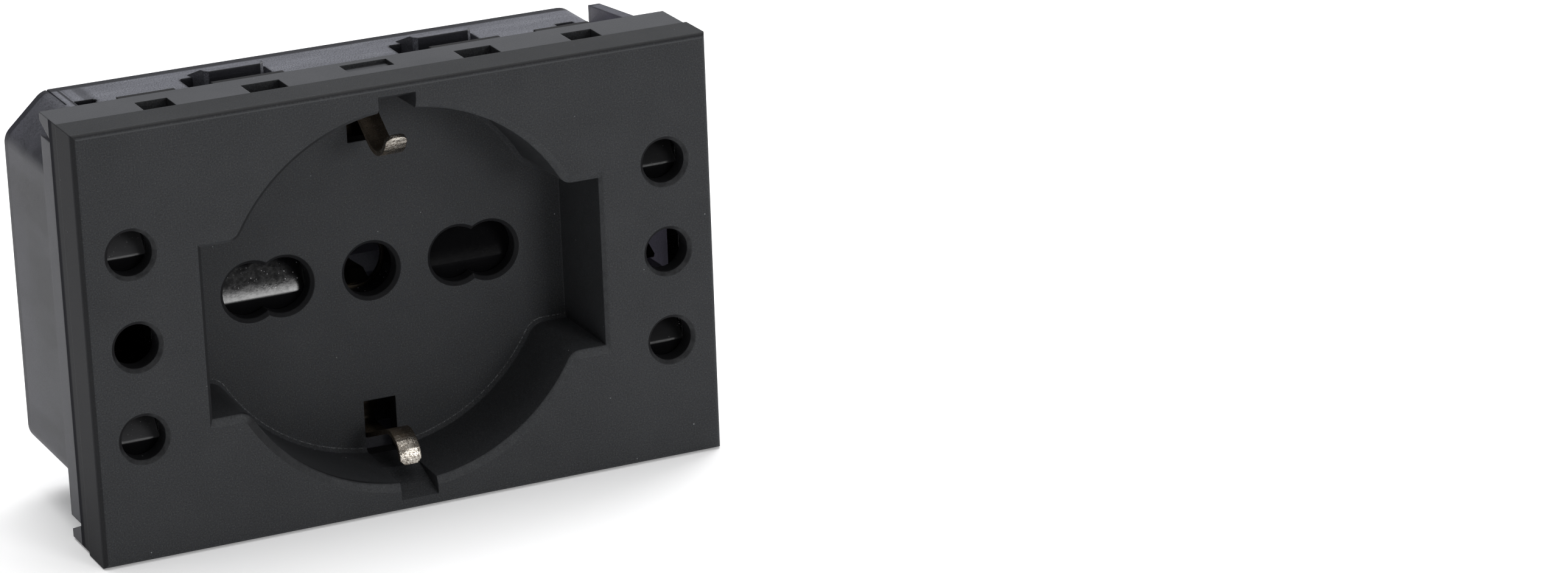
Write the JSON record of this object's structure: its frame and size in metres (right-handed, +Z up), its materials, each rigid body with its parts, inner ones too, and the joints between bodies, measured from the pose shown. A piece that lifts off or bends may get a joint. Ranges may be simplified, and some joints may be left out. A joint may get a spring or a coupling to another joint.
{
  "type": "three-module multi-standard socket outlet",
  "caption": "Flush modular socket outlet: charcoal cover with a round earthed recess between two rows of three pin holes, smoky rear housing with latches and screw terminals.",
  "frame": {"origin": "centre of the front face, where the cover fills the window of its mounting frame", "axes": "X to the right, +Y away from the front face into the wall, +Z up"},
  "size_m": [0.0676, 0.0334, 0.045],
  "materials": {
    "cover_plastic": "fine matte grain, charcoal",
    "smoked_plastic": "satin, smoky grey, slightly see-through",
    "carrier_plastic": "satin pale purplish grey",
    "shutter_plastic": "glossy black",
    "spring_steel": "drawn wire",
    "nickel_plate": "nickel plated strip",
    "contact_brass": "stamped brass",
    "clamp_steel": "zinc plated",
    "screw_steel": "zinc plated"
  },
  "bodies": {
    "socket_body": {"front_cover": "cover_plastic", "rear_housing": "smoked_plastic", "contact_carrier": "carrier_plastic", "central_shutter_spring": "spring_steel", "left_shutter_spring": "spring_steel", "right_shutter_spring": "spring_steel", "earth_clip_strip": "nickel_plate", "earth_link": "contact_brass", "earth_terminal": "contact_brass", "central_earth_contact": "contact_brass", "left_earth_contact": "contact_brass", "right_earth_contact": "contact_brass", "live_bar": "contact_brass", "neutral_bar": "contact_brass", "central_live_contact": "contact_brass", "central_neutral_contact": "contact_brass", "left_live_contact": "contact_brass", "left_neutral_contact": "contact_brass", "right_live_contact": "contact_brass", "right_neutral_contact": "contact_brass"},
    "central_shutter": {"central_shutter": "shutter_plastic"},
    "left_shutter": {"left_shutter": "shutter_plastic"},
    "right_shutter": {"right_shutter": "shutter_plastic"},
    "live_clamp": {"live_clamp_plate": "clamp_steel"},
    "live_screw": {"live_terminal_screw": "screw_steel"},
    "earth_clamp": {"earth_clamp_plate": "clamp_steel"},
    "earth_screw": {"earth_terminal_screw": "screw_steel"},
    "neutral_clamp": {"neutral_clamp_plate": "clamp_steel"},
    "neutral_screw": {"neutral_terminal_screw": "screw_steel"}
  },
  "joints": [
    {"name": "central_shutter_slide", "type": "slide", "parent": "socket_body", "child": "central_shutter", "axis": [0, 0, -1], "range_m": [0, 0.0062], "stiffness_N_per_m": 80, "springref_m": -0.0015, "deforming": ["central_shutter_spring"]},
    {"name": "left_shutter_slide", "type": "slide", "parent": "socket_body", "child": "left_shutter", "axis": [0, 0, -1], "range_m": [0, 0.0047], "stiffness_N_per_m": 60, "springref_m": -0.001, "deforming": ["left_shutter_spring"]},
    {"name": "right_shutter_slide", "type": "slide", "parent": "socket_body", "child": "right_shutter", "axis": [0, 0, -1], "range_m": [0, 0.0047], "stiffness_N_per_m": 60, "springref_m": -0.001, "deforming": ["right_shutter_spring"]},
    {"name": "live_clamp_travel", "type": "slide", "parent": "socket_body", "child": "live_clamp", "axis": [0, -1, 0], "range_m": [0, 0.0026]},
    {"name": "live_screw_turn", "type": "hinge", "parent": "live_clamp", "child": "live_screw", "pos_m": [-0.013, 0.03, 0.0095], "axis": [0, -1, 0], "range_deg": [0, 1560]},
    {"name": "earth_clamp_travel", "type": "slide", "parent": "socket_body", "child": "earth_clamp", "axis": [0, -1, 0], "range_m": [0, 0.0026]},
    {"name": "earth_screw_turn", "type": "hinge", "parent": "earth_clamp", "child": "earth_screw", "pos_m": [0, 0.03, 0.0095], "axis": [0, -1, 0], "range_deg": [0, 1560]},
    {"name": "neutral_clamp_travel", "type": "slide", "parent": "socket_body", "child": "neutral_clamp", "axis": [0, -1, 0], "range_m": [0, 0.0026]},
    {"name": "neutral_screw_turn", "type": "hinge", "parent": "neutral_clamp", "child": "neutral_screw", "pos_m": [0.013, 0.03, 0.0095], "axis": [0, -1, 0], "range_deg": [0, 1560]}
  ],
  "couplings": [
    {"joint": "live_screw_turn", "follows": "live_clamp_travel", "rad_per_m": 10472},
    {"joint": "earth_screw_turn", "follows": "earth_clamp_travel", "rad_per_m": 10472},
    {"joint": "neutral_screw_turn", "follows": "neutral_clamp_travel", "rad_per_m": 10472}
  ]
}
